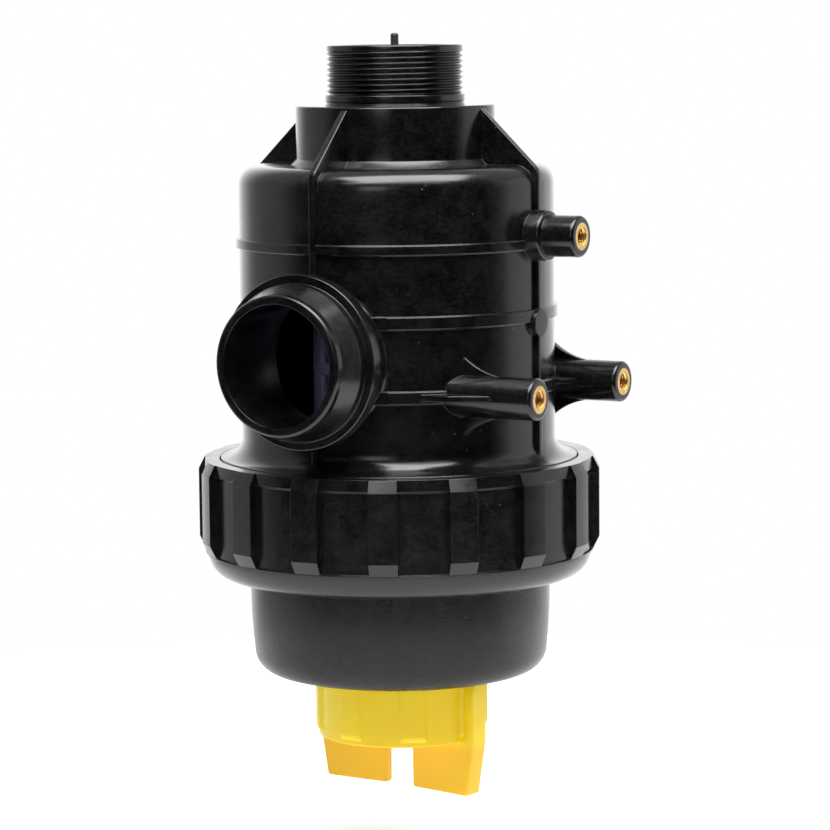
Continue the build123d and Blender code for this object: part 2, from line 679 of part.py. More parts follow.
# Ring nut: sixteen bevelled lugs around a round-bottomed ring that carries the bowl's flange
with BuildPart() as ring_nut:
    with BuildSketch(Plane.XZ):
        with BuildLine():
            round_r = POCKET_R - NUT_ROUND
            Polyline(
                (round_r, NUT_BOTTOM_Z),
                (NUT_NECK_R, NUT_BOTTOM_Z),
                (NUT_NECK_R, NUT_LIP_Z),
                (NUT_BORE_R, NUT_LIP_Z),
                (NUT_BORE_R, NUT_TOP_Z - FLANGE_H - SEAT_STEP),
                (NUT_MOUTH_R, NUT_TOP_Z - FLANGE_H - SEAT_STEP),
                (NUT_MOUTH_R, NUT_TOP_Z),
                (NUT_RIM_R, NUT_TOP_Z),
                (LUG_R, LUG_TOP_Z),
                (LUG_R, LUG_FOOT_Z),
                (NUT_RIM_R, LUG_END_Z),
                (NUT_RIM_R, NUT_BOTTOM_Z + NUT_ROUND),
                (POCKET_R, NUT_BOTTOM_Z + NUT_ROUND),
            )
            CenterArc((round_r, NUT_BOTTOM_Z + NUT_ROUND), NUT_ROUND, 270, 90)
        make_face()
    revolve(axis=Axis.Z)
    with PolarLocations(0, LUG_COUNT, start_angle=NUT_TURN + LUG_ANGLE / 2):
        add(pocket.part, mode=Mode.SUBTRACT)
ring_nut.part.label = "ring_nut"
export_step(ring_nut.part, "parts/ring_nut.step")

# Push rod: turns with nothing, and is carried up and down by the knob's neck
with BuildPart() as push_rod:
    with BuildSketch(Plane.XY.offset(ROD_END_Z)):
        Circle(ROD_R)
    extrude(amount=ROD_TOP_Z - ROD_END_Z)
    tube(ROD_COLLAR_R, ROD_R / 2, KNOB_NECK_TOP_Z + FACE_GAP + ROD_COLLAR_T, KNOB_NECK_TOP_Z + FACE_GAP)
    with BuildSketch(Plane.XZ):
        with Locations((ROD_R, CLIP_TOP_Z - CLIP_T / 2)):
            Rectangle(2 * CLIP_DEPTH, CLIP_T)
    revolve(axis=Axis.Z, mode=Mode.SUBTRACT)
push_rod.part.label = "push_rod"
export_step(push_rod.part, "parts/push_rod.step")

# Spring clip in the rod's groove, open on one side
with BuildPart() as rod_clip:
    with BuildSketch(Plane.XY.offset(CLIP_TOP_Z - CLIP_T)):
        Circle(CLIP_R)
        Circle(ROD_R - CLIP_DEPTH, mode=Mode.SUBTRACT)
        with Locations((CLIP_R, 0)):
            Rectangle(2 * CLIP_R, CLIP_MOUTH, mode=Mode.SUBTRACT)
    extrude(amount=CLIP_T)
rod_clip.part.label = "rod_clip"
export_step(rod_clip.part, "parts/rod_clip.step")

# One wing of the knob: a wedge, thick outside, whose outer edge leans in below the skirt
with BuildPart() as wing:
    with BuildSketch(Plane.XY.offset(KNOB_BOTTOM_Z - WING_H)):
        with BuildLine():
            Polyline(
                (WING_INNER, -WING_INNER_T / 2),
                (WING_R, -WING_T / 2),
                (WING_R, WING_T / 2),
                (WING_INNER, WING_INNER_T / 2),
                close=True,
            )
        make_face()
    extrude(amount=WING_H + KNOB_H)
    with BuildSketch(Plane.XZ):
        with BuildLine():
            Polyline(
                (WING_INNER, KNOB_BOTTOM_Z - WING_H),
                (WING_FOOT_R, KNOB_BOTTOM_Z - WING_H),
                (WING_R, KNOB_BOTTOM_Z),
                (WING_R, KNOB_TOP_Z),
                (WING_INNER, KNOB_TOP_Z),
                close=True,
            )
        make_face()
    extrude(amount=WING_T, both=True, mode=Mode.INTERSECT)
    foot_edges = wing.edges().group_by(Axis.Z)[0]
    fillet(foot_edges.sort_by(Axis.X)[-1], WING_ROUND)

# Knob: a yellow cup with low grip ribs, two wings, and a neck that screws up into the bowl's hub
with BuildPart() as valve_knob:
    tube(KNOB_R, ROD_R + RUN_GAP, KNOB_TOP_Z, KNOB_BOTTOM_Z)
    with BuildSketch(Plane.XY.offset(KNOB_BOTTOM_Z)):
        with PolarLocations(KNOB_R + GRIP_PROUD - KNOB_WALL / 2, GRIP_COUNT, start_angle=KNOB_TURN):
            Rectangle(KNOB_WALL, GRIP_W)
    extrude(amount=KNOB_H)
    with PolarLocations(0, 2, start_angle=KNOB_TURN):
        add(wing.part)
    tube(KNOB_R - KNOB_WALL, ROD_R + RUN_GAP, KNOB_TOP_Z, KNOB_FLOOR_Z)
    with BuildSketch(Plane.XY.offset(KNOB_FLOOR_Z)):
        Circle(KNOB_R - KNOB_WALL)
        Circle(ROD_R + RUN_GAP, mode=Mode.SUBTRACT)
    extrude(amount=KNOB_H, mode=Mode.SUBTRACT)
    tube(KNOB_SHAFT_R, ROD_R + RUN_GAP, KNOB_NECK_TOP_Z, KNOB_FLOOR_Z)
    with BuildSketch(Plane.XY.offset(KNOB_BOTTOM_Z)):
        Circle(CLIP_POCKET_R)
    extrude(amount=CLIP_POCKET_H, mode=Mode.SUBTRACT)
    ring_groove(KNOB_NECK_R - SEAL_GAP, KNOB_RING_WIRE, BOWL_UNDER_Z)
valve_knob.part.label = "valve_knob"
export_step(valve_knob.part, "parts/valve_knob.step")

# Rubber ring on the knob's neck
with BuildPart() as knob_o_ring:
    round_ring(KNOB_NECK_R - SEAL_GAP, KNOB_RING_WIRE, BOWL_UNDER_Z)
knob_o_ring.part.label = "knob_o_ring"
export_step(knob_o_ring.part, "parts/knob_o_ring.step")

# Cartridge: top ring that plugs up into the sleeve
TOP_RING_Z = CART_FLANGE_Z + TOP_RING_H
CART_RING_Z = CART_FLANGE_Z + TOP_RING_H / 2
with BuildPart() as cartridge_top_ring:
    tube(TOP_RING_R, TOP_RING_R - TOP_RING_WALL, TOP_RING_Z, CART_FLANGE_Z)
    tube(CART_FLANGE_R, TOP_RING_R - TOP_RING_WALL, CART_FLANGE_Z, CAGE_TOP_Z)
    ring_groove(SLEEVE_R - SEAL_GAP, CART_RING_WIRE, CART_RING_Z)
cartridge_top_ring.part.label = "cartridge_top_ring"
export_step(cartridge_top_ring.part, "parts/cartridge_top_ring.step")

# Rubber ring of the cartridge's top
with BuildPart() as cartridge_top_o_ring:
    round_ring(SLEEVE_R - SEAL_GAP, CART_RING_WIRE, CART_RING_Z)
cartridge_top_o_ring.part.label = "cartridge_top_o_ring"
export_step(cartridge_top_o_ring.part, "parts/cartridge_top_o_ring.step")

# Cage of upright bars and hoops that holds the mesh from outside
CAGE_H = CAGE_TOP_Z - CAGE_BOTTOM_Z
WINDOW_H = (CAGE_H - (CAGE_ROWS + 1) * HOOP_H) / CAGE_ROWS
WINDOW_W = 2 * CAGE_R * sin(radians(180 / CAGE_BARS)) - BAR_W
with BuildPart() as cartridge_cage:
    tube(CAGE_R, CAGE_R - CAGE_T, CAGE_TOP_Z, CAGE_BOTTOM_Z)
    for row in range(CAGE_ROWS):
        window_z = CAGE_BOTTOM_Z + HOOP_H + WINDOW_H / 2 + row * (WINDOW_H + HOOP_H)
        half_bar = 180 / CAGE_BARS
        with Locations((0, 0, window_z)):
            with PolarLocations(CAGE_R * cos(radians(half_bar)), CAGE_BARS, start_angle=CAGE_TURN + half_bar):
                Box(CAGE_R / 2, WINDOW_W, WINDOW_H, mode=Mode.SUBTRACT)
cartridge_cage.part.label = "cartridge_cage"
export_step(cartridge_cage.part, "parts/cartridge_cage.step")

# Woven steel mesh, rolled into a tube inside the cage
with BuildPart() as filter_mesh:
    tube(CAGE_R - CAGE_T, CAGE_R - CAGE_T - MESH_T, CAGE_TOP_Z, CAGE_BOTTOM_Z)
filter_mesh.part.label = "filter_mesh"
export_step(filter_mesh.part, "parts/filter_mesh.step")

# Cartridge: bottom ring that fits over the post on the bowl's floor
with BuildPart() as cartridge_bottom_ring:
    tube(CAGE_R, POST_BORE_R, CAGE_BOTTOM_Z, BOWL_FLOOR_Z + FACE_GAP)
cartridge_bottom_ring.part.label = "cartridge_bottom_ring"
export_step(cartridge_bottom_ring.part, "parts/cartridge_bottom_ring.step")

# Rubber ring on the post
with BuildPart() as post_o_ring:
    round_ring(POST_BORE_R - RUN_GAP, POST_RING_WIRE, POST_RING_Z)
post_o_ring.part.label = "post_o_ring"
export_step(post_o_ring.part, "parts/post_o_ring.step")
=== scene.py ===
from math import acos, ceil, cos, degrees, hypot, pi, radians, sin, sqrt, tan

import bmesh
import bpy
from mathutils import Matrix, Vector


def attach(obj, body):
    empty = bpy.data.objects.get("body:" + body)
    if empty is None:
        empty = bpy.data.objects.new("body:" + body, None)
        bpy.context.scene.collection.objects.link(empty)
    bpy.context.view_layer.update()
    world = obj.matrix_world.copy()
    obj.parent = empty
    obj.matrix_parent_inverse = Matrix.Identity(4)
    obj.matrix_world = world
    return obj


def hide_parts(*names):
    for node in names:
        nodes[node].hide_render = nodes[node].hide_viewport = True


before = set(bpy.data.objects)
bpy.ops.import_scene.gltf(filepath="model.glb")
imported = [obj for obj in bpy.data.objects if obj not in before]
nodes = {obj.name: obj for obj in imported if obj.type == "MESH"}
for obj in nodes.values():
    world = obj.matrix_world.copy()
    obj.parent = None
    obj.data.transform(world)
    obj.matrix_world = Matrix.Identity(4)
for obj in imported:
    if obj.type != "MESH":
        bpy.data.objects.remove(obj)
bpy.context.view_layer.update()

# Camera: a long lens a metre and a half away, turned 30 degrees towards the mounting bosses.
# It looks slightly down, level with the inlet's rim, and hangs half a degree out of true.
MM = 0.001
CAMERA_AT = Vector((740.0, -1267.2, 9.7)) * MM
CAMERA_TURN = radians(30)
CAMERA_TILT = radians(6.712)
CAMERA_ROLL = radians(-0.594)
LENS_PIXELS = 3338.3
IMAGE_PIXELS = 830

camera = bpy.data.objects.new("camera", bpy.data.cameras.new("camera"))
camera.data.sensor_width = 36
camera.data.lens = 36 * LENS_PIXELS / IMAGE_PIXELS
camera.data.clip_end = 100
camera.matrix_world = (
    Matrix.Translation(CAMERA_AT)
    @ Matrix.Rotation(CAMERA_TURN, 4, "Z")
    @ Matrix.Rotation(pi / 2 - CAMERA_TILT, 4, "X")
    @ Matrix.Rotation(CAMERA_ROLL, 4, "Z")
)
bpy.context.scene.collection.objects.link(camera)
bpy.context.scene.camera = camera
bpy.context.scene.view_settings.view_transform = "Standard"

# Housing: one black moulding with the inlet, the neck, the ribbed body, the outlet and the bosses.
# It is glass-filled plastic from a polished tool, so it is satin, with a rounded edge at every wall.
# Each outline is a list of (radius, height, corner radius) in millimetres.


class Link:
    """One socket of a node tree. Arithmetic between two of them, or with a number, adds a Math node."""

    def __init__(self, tree, socket=None):
        self.tree = tree
        self.socket = socket

    def node(self, kind, settings=(), inputs=(), out=0):
        """Adds any node: settings first, then values or links for its inputs; gives one of its outputs."""
        made = self.tree.nodes.new(kind)
        for name, value in dict(settings).items():
            setattr(made, name, value)
        for name, value in dict(inputs).items():
            if isinstance(value, Link):
                self.tree.links.new(value.socket, made.inputs[name])
            else:
                made.inputs[name].default_value = value
        return Link(self.tree, made.outputs[out]) if made.outputs else None

    def math(self, operation, *values):
        return self.node("ShaderNodeMath", {"operation": operation}, enumerate((self, *values)))

    def __add__(self, other):
        return self.math("ADD", other)

    def __sub__(self, other):
        return self.math("SUBTRACT", other)

    def __rsub__(self, other):
        return self.node("ShaderNodeMath", {"operation": "SUBTRACT"}, {0: other, 1: self})

    def __mul__(self, other):
        return self.math("MULTIPLY", other)

    def __truediv__(self, other):
        return self.math("DIVIDE", other)

    __radd__ = __add__
    __rmul__ = __mul__

    def part(self, number):
        """Another output of the same node."""
        return Link(self.tree, self.socket.node.outputs[number])

    def ease(self, low, high):
        """A smooth step from 0 at low to 1 at high."""
        settings = {"interpolation_type": "SMOOTHSTEP"}
        inputs = {"Value": self, "From Min": low, "From Max": high, "To Min": 0.0, "To Max": 1.0}
        return self.node("ShaderNodeMapRange", settings, inputs)

    def blend(self, first, second):
        """A colour between two, by this factor."""
        return self.node("ShaderNodeMix", {"data_type": "RGBA"}, {0: self, 6: first, 7: second}, out=2)


def material(name):
    """An empty material; gives it, a link to start expressions from, and its point on the object."""
    made = bpy.data.materials.new(name)
    made.use_nodes = True
    tree = made.node_tree
    tree.nodes.clear()
    start = Link(tree)
    return made, start, start.node("ShaderNodeTexCoord", out=3)


def finished(start, **sockets):
    """The shader and the output node of a material. Sockets are named with _ for each space."""
    inputs = {name.replace("_", " "): value for name, value in sockets.items()}
    shader = start.node("ShaderNodeBsdfPrincipled", {}, inputs)
    start.node("ShaderNodeOutputMaterial", {}, {"Surface": shader})


NOISE_TURN, BLOB = (0.61, 0.37, 0.22), 0.6


def noise(start, point, size, detail=3.0, rough=0.5, squeeze=1.0):
    """Noise with blobs about size millimetres across. It is either turned, so that no wall lies along its
    lattice, or squeezed along Z (a squeeze below 1 draws it out)."""
    change = {"Rotation": NOISE_TURN} if squeeze == 1 else {"Scale": (1.0, 1.0, squeeze)}
    place = start.node("ShaderNodeMapping", {}, {"Vector": point, **change})
    inputs = {"Vector": place, "Scale": BLOB / (size * MM), "Detail": detail, "Roughness": rough}
    return start.node("ShaderNodeTexNoise", {"normalize": True}, inputs)


def rounding(start, radius):
    """A normal that rounds the edges off."""
    return start.node("ShaderNodeBevel", {"samples": 6}, {"Radius": radius * MM})


def grained(start, height, depth, strength=1.0, **normal):
    """A normal with grain of this height pattern, depth millimetres deep."""
    inputs = {"Strength": strength, "Distance": depth * MM, "Height": height, **normal}
    return start.node("ShaderNodeBump", {}, inputs)


DUST_GREY, SPECK_GAP = (0.35, 0.35, 0.34, 1), 5.5


def moulded(name, colour, roughness, grain, grain_size, scuffs=0.5, gloss=1.5, cloud=1.0):
    """Moulded plastic: fine tool grain, cloudy colour, uneven gloss, faint scuffs, dust, rounded edges."""
    made, start, point = material(name)
    fine = noise(start, point, grain_size, 4.0, 0.6)
    patch = noise(start, point, 9.0, 4.0)
    broad = noise(start, point, 45.0, 2.0)
    smudge = noise(start, point, 5.0, 5.0, 0.62)
    mottle = noise(start, point, 1.3, 5.0, 0.7, squeeze=1.8)
    marks = noise(start, point, 1.2, squeeze=0.15).ease(0.66, 0.8) * broad.ease(0.4, 0.65)
    specks = start.node("ShaderNodeTexVoronoi", {}, {"Vector": point, "Scale": 1 / (SPECK_GAP * MM)})
    dust = (1 - specks.ease(0.03, 0.06)) * noise(start, point, 12.0).ease(0.52, 0.62)
    bump = grained(start, fine + mottle * 2.5, grain, Normal=rounding(start, 0.45))
    worn = tuple(min(1.0, c * 1.3 + 0.006) for c in colour)
    dark = tuple(c * (1 - 0.8 * cloud) for c in colour)
    bright = tuple(min(1.0, c * (1 + cloud)) for c in colour)
    tone = (mottle * 0.55 + smudge * 0.45).ease(0.36, 0.66).blend((*dark, 1), (*bright, 1))
    tone = (marks * scuffs).blend(tone, (*worn, 1))
    tone = (dust * scuffs).blend(tone, DUST_GREY)
    shine = roughness + (patch - 0.5) * 0.10 + (smudge - 0.5) * 0.08 + (mottle - 0.5) * 0.12
    finished(start, Base_Color=tone, Roughness=shine, Normal=bump, IOR=gloss)
    return made


def rounded(corners, closed=True):
    """Rounds each corner of an outline of (a, b, radius) points into an arc."""
    points = []
    count = len(corners)
    for i, (a, b, radius) in enumerate(corners):
        here = Vector((a, b))
        if radius <= 0 or not closed and i in (0, count - 1):
            points.append((a, b))
            continue
        before = (Vector(corners[i - 1][:2]) - here).normalized()
        after = (Vector(corners[(i + 1) % count][:2]) - here).normalized()
        half = acos(max(-1.0, min(1.0, before.dot(after)))) / 2
        centre = here + (before + after).normalized() * radius / sin(half)
        start = here + before * radius / tan(half) - centre
        end = here + after * radius / tan(half) - centre
        swing = (pi - 2 * half) * (1 if start.cross(end) > 0 else -1)
        steps = max(3, ceil(abs(swing) / radians(12)))
        for step in range(steps + 1):
            point = centre + Matrix.Rotation(swing * step / steps, 2) @ start
            points.append((point.x, point.y))
    return points


def arc(first, last, step=3.0):
    """Evenly spaced angles from first to last, both kept."""
    count = max(1, round(abs(last - first) / step))
    return [first + (last - first) * k / count for k in range(count + 1)]


def unit(angle):
    """The cosine and sine of an angle in degrees."""
    return cos(radians(angle)), sin(radians(angle))


def ring_faces(steps, count, closed=True):
    """The faces between equal sections, each a loop of count points, in a row or in a closed ring."""
    faces = []
    for k in range(steps if closed else steps - 1):
        a, b = k * count, (k + 1) % steps * count
        faces += [(a + i, a + (i + 1) % count, b + (i + 1) % count, b + i) for i in range(count)]
    return faces


def divided(points, longest, closed=True):
    """Splits the long straights of an outline, so that a cut into them leaves only small faces."""
    result = []
    pairs = zip(points, points[1:] + points[:1] if closed else points[1:])
    for (a0, b0), (a1, b1) in pairs:
        parts = max(1, ceil(hypot(a1 - a0, b1 - b0) / longest))
        result += [(a0 + (a1 - a0) * k / parts, b0 + (b1 - b0) * k / parts) for k in range(parts)]
    return result if closed else result + points[-1:]


SHARP = radians(20)


def shaded(made):
    """Merges doubles, turns faces outwards and shades smooth up to its sharp edges."""
    work = bmesh.new()
    work.from_mesh(made.data)
    bmesh.ops.remove_doubles(work, verts=work.verts, dist=2e-6)
    bmesh.ops.recalc_face_normals(work, faces=work.faces)
    work.to_mesh(made.data)
    work.free()
    made.data.shade_smooth()
    made.data.set_sharp_from_angle(angle=SHARP)
    return made


def piece(name, verts, faces):
    """Makes an object from millimetre points."""
    mesh = bpy.data.meshes.new(name)
    mesh.from_pydata([Vector(v) * MM for v in verts], [], faces)
    made = bpy.data.objects.new(name, mesh)
    bpy.context.scene.collection.objects.link(made)
    return shaded(made)


def turned(name, outline, steps=192, swell=None):
    """Turns a closed (radius, height) outline about the Z axis; swell(angle, r, z) may change a radius."""
    verts = []
    for k in range(steps):
        angle = 2 * pi * k / steps
        for r, z in outline:
            out = swell(angle, r, z) if swell else r
            verts.append((out * cos(angle), out * sin(angle), z))
    count = len(outline)
    faces = []
    for k in range(steps):
        a, b = k * count, (k + 1) % steps * count
        for i in range(count):
            j = (i + 1) % count
            if outline[i][0] > 0 or outline[j][0] > 0:
                faces.append((a + i, b + i, b + j, a + j))
    return piece(name, verts, faces)


def extruded(name, outline, depth):
    """Extrudes a closed (a, b) outline from -depth/2 to depth/2 along the third axis."""
    count = len(outline)
    verts = [(a, b, side * depth / 2) for side in (-1, 1) for a, b in outline]
    faces = [(i, (i + 1) % count, count + (i + 1) % count, count + i) for i in range(count)]
    faces += [tuple(range(count)), tuple(range(count, 2 * count))]
    return piece(name, verts, faces)


def placed(made, matrix):
    """Bakes a matrix, whose offset is in millimetres, into a piece's mesh."""
    scaled = matrix.copy()
    scaled.translation *= MM
    made.data.transform(scaled)
    return made


def copied(made, matrix):
    """A copy of a piece, with its place in its mesh."""
    twin = bpy.data.objects.new(made.name, made.data.copy())
    bpy.context.scene.collection.objects.link(twin)
    return placed(twin, matrix)


def applied(made):
    """Turns a piece and its modifiers into a plain mesh."""
    view = bpy.context.evaluated_depsgraph_get()
    mesh = bpy.data.meshes.new_from_object(made.evaluated_get(view))
    made.modifiers.clear()
    made.data = mesh
    return made


def softened(made, width, segments=3):
    """Rounds every sharp edge of a piece."""
    bevel = made.modifiers.new("soft", "BEVEL")
    bevel.width = width * MM
    bevel.segments = segments
    bevel.limit_method = "ANGLE"
    bevel.angle_limit = SHARP
    return shaded(applied(made))


def combined(base, others, operation="UNION"):
    """Joins pieces to a base, or cuts them from it, and drops them."""
    for other in others:
        change = base.modifiers.new("join", "BOOLEAN")
        change.operation = operation
        change.solver = "MANIFOLD"
        change.object = other
        applied(base)
        bpy.data.objects.remove(other)
    return shaded(base)


def turn(angle):
    """A turn about the Z axis, in degrees."""
    return Matrix.Rotation(radians(angle), 4, "Z")


def move(x, y, z):
    return Matrix.Translation((x, y, z))


UPRIGHT = Matrix.Rotation(pi / 2, 4, "X")
LYING = Matrix.Rotation(pi / 2, 4, "Y")
NECK_TOP, SHOULDER, FLANGE, SKIRT_END = -26.1, -51.8, -180.0, -221.0
NECK_R, BODY_R, RIB_R, CAVITY_R = 43.65, 69.2, 71.2, 64.7
OUTLET_Z = -132.0
BANDS = [(-85.5, 4.2), (-116.2, 5.4), (-147.8, 5.4)]

housing_black = moulded("housing_black", (0.0042, 0.0042, 0.0045), 0.21, 0.004, 0.5)

body_outline = [
    (0, 0, 0),
    (29.8, 0, 0.8),
    (29.8, -2.4, 0.2),
    (28.32, -3.0, 0),
    (28.32, -21.5, 0),
    (30.6, -21.5, 0.5),
    (30.6, -24.4, 0.2),
    (30.1, -24.6, 0),
    (30.1, -25.2, 0),
    (30.6, -25.4, 0.2),
    (30.6, NECK_TOP, 0.3),
    (NECK_R, NECK_TOP, 1.0),
    (NECK_R, SHOULDER + 2.6, 0.8),
    (NECK_R + 2.7, SHOULDER, 0.3),
    (BODY_R, SHOULDER, 8.6),
]
for height, width in BANDS:
    body_outline += [
        (BODY_R, height + width / 2, 0.3),
        (BODY_R + 1.5, height + width / 2, 0.5),
        (BODY_R + 1.5, height - width / 2, 0.5),
        (BODY_R, height - width / 2, 0.3),
    ]
body_outline += [
    (BODY_R, FLANGE, 8.6),
    (78.8, FLANGE, 0.6),
    (78.8, FLANGE - 4, 0.6),
    (76.0, FLANGE - 4, 0.3),
    (76.0, SKIRT_END, 0.8),
    (0, SKIRT_END, 0),
]
housing = turned("housing_shell", divided(rounded(body_outline, False), 5, False), 240)

# A gusset on each side of the neck, running on as a rib down the body
rib_outline = [
    (40.9, NECK_TOP - 1.5, 0),
    (43.9, NECK_TOP - 1.5, 0.5),
    (RIB_R, SHOULDER - 2, 6),
    (RIB_R, FLANGE - 1, 0),
    (66, FLANGE - 1, 0),
    (66, SHOULDER - 12, 0),
    (40.9, SHOULDER - 4, 0),
]
rib = softened(extruded("rib", rounded(rib_outline), 3.2), 0.5)
parts = [copied(rib, turn(90 * k) @ UPRIGHT) for k in range(4)]
bpy.data.objects.remove(rib)

# Outlet: a short pipe, a stop collar, and a hose barb that is a long cone behind a plain tip.
# The mould's side core leaves the two bands beside it a little lower, and the pipe has a rounded root.
PIPE_R, PIPE_ROOT, PIPE_STEP = 31.0, 1.8, 2
CORE_HALF, CORE_HIGH, CORE_OUT, LOW_BAND_R = 31.5, 44.0, -80.0, BODY_R + 0.8
outlet_outline = [
    (0, 40, 0),
    (PIPE_R, 40, 0),
    (PIPE_R, 77.5, 0.4),
    (37.3, 77.5, 0.6),
    (37.3, 84.0, 0.6),
    (33.5, 84.0, 0.3),
    (33.5, 88.0, 0.5),
    (30.0, 97.0, 0.5),
    (30.0, 101.0, 1.5),
    (0, 101.0, 0),
]
side = degrees(acos(CORE_HALF / LOW_BAND_R))
core_outline = [(LOW_BAND_R * c, -LOW_BAND_R * s) for c, s in map(unit, arc(side, 180 - side))]
core_outline += [(-CORE_HALF, CORE_OUT), (CORE_HALF, CORE_OUT)]
side_core = placed(extruded("side_core", core_outline, CORE_HIGH), move(0, 0, OUTLET_Z))
combined(housing, [side_core], "DIFFERENCE")
outlet = turned("outlet", rounded(outlet_outline, False), 192)
parts.append(placed(outlet, move(0, 0, OUTLET_Z) @ UPRIGHT))
root_rows = [(PIPE_R - 1.5, -1.5), (PIPE_R - 1.5, PIPE_ROOT)]
root_rows += [(PIPE_R + PIPE_ROOT * (1 - c), PIPE_ROOT * (1 - s)) for c, s in map(unit, arc(0, 90, 10))]
root_rows += [(PIPE_R + PIPE_ROOT, -1.5)]
verts = []
for c, s in map(unit, range(0, 360, PIPE_STEP)):
    verts += [(r * c, -sqrt(BODY_R**2 - (r * c) ** 2) - off, OUTLET_Z + r * s) for r, off in root_rows]
parts.append(piece("outlet_root", verts, ring_faces(360 // PIPE_STEP, len(root_rows))))

# Mounting bosses: a thick root under the upper one and four curved webs beside each lower one
BOSS_FACE, BOSS_R = 91.5, 9.0
BOSSES = [(0, -81.8), (-39.5, -147.8), (39.5, -147.8)]
boss_outline = rounded([(0, 45, 0), (BOSS_R, 45, 0), (BOSS_R, BOSS_FACE, 1.6), (0, BOSS_FACE, 0)], False)
root_outline = rounded([(0, 66, 0), (11, 66, 0), (11, 76.2, 1.4), (0, 76.2, 0)], False)
for y, z in BOSSES:
    parts.append(placed(turned("boss", boss_outline, 72), move(0, y, z) @ LYING))
parts.append(placed(turned("root", root_outline, 72), move(0, *BOSSES[0]) @ LYING))
web_foot, web_nose = Vector((56.8, 16.3)), Vector((76.8, 8.6))
WEB_CURVE, WEB_ROOT = 34.0, 33.0
chord = web_nose - web_foot
rise = sqrt(WEB_CURVE**2 - chord.length_squared / 4)
web_centre = (web_foot + web_nose) / 2 + Vector((-chord.y, chord.x)).normalized() * rise
web_outline = [(web_nose.x, -2.0), (WEB_ROOT, -2.0), (WEB_ROOT, web_foot.y)]
sweep = (web_nose - web_centre).angle_signed(web_foot - web_centre)
for k in range(13):
    point = web_centre + Matrix.Rotation(sweep * k / 12, 2) @ (web_foot - web_centre)
    web_outline.append((point.x, point.y))
web = softened(extruded("web", web_outline, 3.0), 0.5)
for y, z in BOSSES[1:]:
    parts += [copied(web, move(0, y, z) @ Matrix.Rotation(k * pi / 2, 4, "X") @ UPRIGHT) for k in range(4)]
bpy.data.objects.remove(web)

# A round blank pad where the middle band crosses the rib between the bosses
pad_outline = rounded([(0, 66, 0), (6, 66, 0), (6, 71.9, 0.4), (0, 71.9, 0)], False)
parts.append(placed(turned("pad", pad_outline, 64), move(0, 0, -119.2) @ LYING))
combined(housing, parts)

# The hollow: inlet bore, valve chamber, the sleeve that hangs inside, and the body's inside
hollow_outline = [
    (0, 25, 0),
    (24.6, 25, 0),
    (24.6, 0.6, 0),
    (23.2, -0.8, 0.3),
    (23.2, -3, 0),
    (25.2, -3, 0),
    (25.2, -29.5, 0.5),
    (36.65, -29.5, 1.0),
    (36.65, -64, 0),
    (38.15, -64, 0),
    (38.15, -94, 0.8),
    (42.15, -94, 0.8),
    (42.15, -55.9, 1.5),
    (60.2, -55.9, 2.0),
    (CAVITY_R, -60.4, 2.0),
    (CAVITY_R, -191, 0.4),
    (70, -191, 0.4),
    (70, SKIRT_END, 0.8),
    (72, -226, 0),
    (0, -226, 0),
]
hollow = turned("hollow", divided(rounded(hollow_outline, False), 8, False), 192)
bore_outline = rounded([(0, 43, 0), (26, 43, 0), (26, 101, 0.8), (30, 104, 0), (0, 104, 0)], False)
bore = placed(turned("bore", bore_outline, 128), move(0, 0, OUTLET_Z) @ UPRIGHT)
pocket_outline = [(0, 76.5), (5.9, 76.5), (5.9, 95), (0, 95)]
pockets = [placed(turned("pocket", pocket_outline, 72), move(0, y, z) @ LYING) for y, z in BOSSES]
combined(housing, [hollow, bore, *pockets], "DIFFERENCE")

# Threads: a pipe thread on the inlet and a coarse round thread for the nut on the skirt.
# They are part of the same moulding. Each is cut as one right-hand helix that fades in and out.


def grouped(name, sockets):
    """An empty geometry tree with the named input values; gives the tree and links to its inputs."""
    tree = bpy.data.node_groups.new(name, "GeometryNodeTree")
    tree.interface.new_socket("Geometry", in_out="INPUT", socket_type="NodeSocketGeometry")
    for label, kind in sockets.items():
        tree.interface.new_socket(label, in_out="INPUT", socket_type="NodeSocket" + kind)
    tree.interface.new_socket("Geometry", in_out="OUTPUT", socket_type="NodeSocketGeometry")
    entry = Link(tree).node("NodeGroupInput")
    return tree, entry, {label: entry.part(label) for label in sockets}


def closed_off(geometry, finish):
    """Ends a geometry tree: real faces, their seams merged, and their material."""
    real = geometry.node("GeometryNodeRealizeInstances", {}, {"Geometry": geometry})
    merged = real.node("GeometryNodeMergeByDistance", {}, {"Geometry": real, "Distance": 2e-6})
    faced = merged.node("GeometryNodeSetMaterial", {}, {"Geometry": merged, "Material": finish})
    faced.node("NodeGroupOutput", {}, {"Geometry": faced})


def grown(name, tree, base=None, **values):
    """Runs a geometry tree on a new piece, or on base, and keeps the result as a plain mesh."""
    made = base or piece(name, [], [])
    made.name = name
    grower = made.modifiers.new("grow", "NODES")
    grower.node_group = tree
    labels = {item.name: item.identifier for item in tree.interface.items_tree if item.in_out == "INPUT"}
    for label, value in values.items():
        grower[labels[label.replace("_", " ")]] = value
    return shaded(applied(made))


